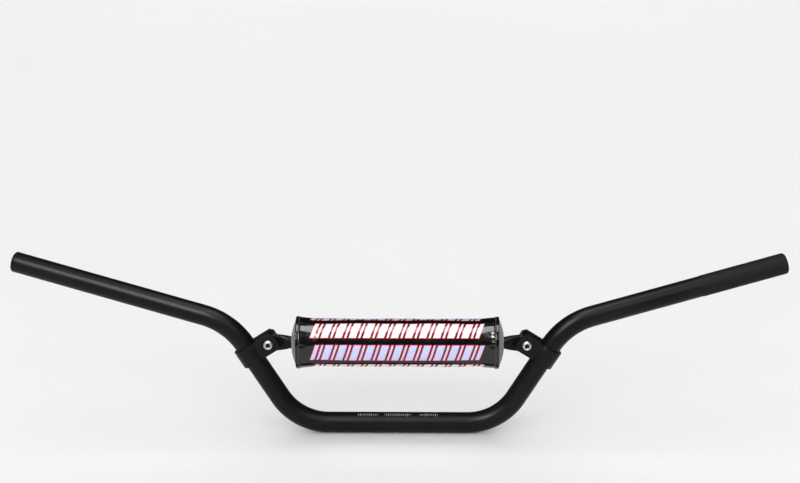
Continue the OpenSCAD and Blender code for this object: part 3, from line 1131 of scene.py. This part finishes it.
def stitch_seam(bm, angle, point):
    """A straight row of stitches along the flap, where point(angle, x) lies on its surface."""
    for i in range(SEAM_STITCHES):
        x0 = -STRIP_HALF + (i + 0.1) / SEAM_STITCHES * 2 * STRIP_HALF
        x1 = -STRIP_HALF + (i + 0.85) / SEAM_STITCHES * 2 * STRIP_HALF
        stitch_mesh(bm, point(angle, x0), point(angle, x1), facing(angle), THREAD_R)


def make_stitching(thread):
    """Stitches round both hems and along the closure flap."""
    bm = bmesh.new()
    for sign in (-1, 1):
        stitch_hem(bm, sign * (COVER_HALF - HEM_W + 0.9 * MM))
    stitch_seam(bm, math.radians(52.5), lambda a, x: cover_point(a, x, 0.35 * MM))
    for angle in (REAR - STRIP_ANGLE / 2 + SEAM_INSET, REAR + STRIP_ANGLE / 2 - SEAM_INSET):
        stitch_seam(bm, angle, lambda a, x: pad_point(a, x, FLAP_R))
    bmesh.ops.recalc_face_normals(bm, faces=bm.faces)
    mesh = bpy.data.meshes.new("pad_stitching")
    bm.to_mesh(mesh)
    bm.free()
    mesh.shade_smooth()
    stitching = add_object("pad_stitching", mesh)
    set_material(stitching, thread)
    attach(stitching, "pad")


make_cover(vinyl_material())
make_strip("hook_strip", PAD_R + 0.02 * MM, 0.012, 21)
make_strip("loop_strip", PAD_R + STRIP_T + 0.04 * MM, 0.02, 22)
end_fabric = weave_material("end_fabric", (0.04, 0.04, 0.042, 1), (0.24, 0.24, 0.245, 1), 0.0008, 0.25)
for side in ("left", "right"):
    make_pad_end(side, end_fabric)
make_foam()
make_stitching(thread_material())

# ---------------------------------------------------------------- floor, light and camera

FLOOR_R = 9.0
WALL_CURVE_R = 3.0
WALL_TOP = 9.0


def turned_sheet(name, profile, steps=96):
    """A sheet made by turning a profile of (radius, height) about the vertical."""
    angle = np.arange(steps) / steps * 2 * math.pi
    rows = [np.stack([r * np.cos(angle), r * np.sin(angle), np.full(steps, z)], -1) for r, z in profile]
    return add_object(name, grid_mesh(name, rows, sharp=180))


def make_floor():
    """A pale floor under the tube, and a far wall that curves up all round it."""
    ground = -TUBE_R
    n = Nodes("studio_floor")
    coords, _ = n.object_xyz()
    faint = n.noise(coords, 2.5, 2)
    base = n.mix(faint, (0.80, 0.80, 0.805, 1), (0.83, 0.83, 0.83, 1))
    n.set(Base_Color=base, Roughness=0.6, Specular_IOR_Level=0.2)
    floor = turned_sheet("floor", [(radius, ground) for radius in (1 * MM, 1.0, 4.0, FLOOR_R)])
    profile = []
    for a in np.linspace(0, math.pi / 2, 20):
        out, up = math.sin(a), 1 - math.cos(a)
        profile.append((FLOOR_R + WALL_CURVE_R * out, ground + WALL_CURVE_R * up))
    profile.append((FLOOR_R + WALL_CURVE_R, WALL_TOP))
    wall = turned_sheet("far_wall", profile)
    wall.visible_glossy = False
    for sheet in (floor, wall):
        set_material(sheet, n.mat)


def area_light(name, place, aim, size, power):
    data = bpy.data.lights.new(name, "AREA")
    data.shape = "RECTANGLE"
    data.size, data.size_y = size
    data.energy = power
    light = bpy.data.objects.new(name, data)
    bpy.context.scene.collection.objects.link(light)
    light.location = place
    light.rotation_euler = (Vector(aim) - Vector(place)).to_track_quat("-Z", "Y").to_euler()
    return light


# Lights as (name, place, aim, size, watts): sizes and places in metres
GLOSS_LIGHTS = (
    ("softbox", (0, -0.16, 1.35), (0, -0.16, 0), (0.56, 0.75), 10),
    ("left_strip", (-1.0, -2.17, 2.2), (-0.29, 0, 0.13), (0.35, 1.7), 105),
    ("right_strip", (1.0, -2.17, 2.2), (0.29, 0, 0.13), (0.35, 1.7), 18),
)
BROAD_LIGHTS = (
    ("wash", (0, -0.5, 5.0), (0, -0.1, 0), (9.0, 8.0), 270),
    ("front_wash", (0, -5.5, 2.6), (0, 0.4, 0), (9.0, 4.0), 370),
    ("rear_wash", (0, 5.5, 2.6), (0, -0.4, 0), (9.0, 4.0), 240),
)


def make_lights():
    """Small lights that only make highlights, and broad light that no surface mirrors."""
    for facts in GLOSS_LIGHTS:
        area_light(*facts).visible_diffuse = False
    for facts in BROAD_LIGHTS:
        area_light(*facts).visible_glossy = False
    world = bpy.data.worlds.new("studio")
    world.use_nodes = True
    background = world.node_tree.nodes["Background"]
    background.inputs["Color"].default_value = (0.9, 0.93, 1.0, 1)
    background.inputs["Strength"].default_value = 0.02
    bpy.context.scene.world = world


# The photograph's view: turns in radians, and the object's origin as the camera sees it,
# to the right, down and ahead
CAMERA_YAW = 0.026
CAMERA_PITCH = 0.27
CAMERA_ROLL = -0.005
CAMERA_TO_OBJECT = Vector((-2.069, 193.093, 3205.359)) * MM
LENS_MM = 135
SENSOR_MM = 36


def make_camera():
    """The photograph's view, worked out by matching the tube's outline."""
    right_down_ahead = Matrix(((1, 0, 0), (0, 0, -1), (0, 1, 0)))
    yaw = Matrix.Rotation(-CAMERA_YAW, 3, "Z")
    pitch = Matrix.Rotation(CAMERA_PITCH, 3, "X")
    roll = Matrix.Rotation(CAMERA_ROLL, 3, "Z")
    to_camera = roll @ right_down_ahead @ pitch @ yaw
    place = -(to_camera.transposed() @ CAMERA_TO_OBJECT)
    axes = Matrix((to_camera[0], -to_camera[1], -to_camera[2])).transposed()
    data = bpy.data.cameras.new("camera")
    data.sensor_width = SENSOR_MM
    data.lens = LENS_MM
    camera = bpy.data.objects.new("camera", data)
    camera.matrix_world = Matrix.Translation(place) @ axes.to_4x4()
    bpy.context.scene.collection.objects.link(camera)
    bpy.context.scene.camera = camera


make_floor()
make_lights()
make_camera()
bpy.context.scene.view_settings.view_transform = "Standard"
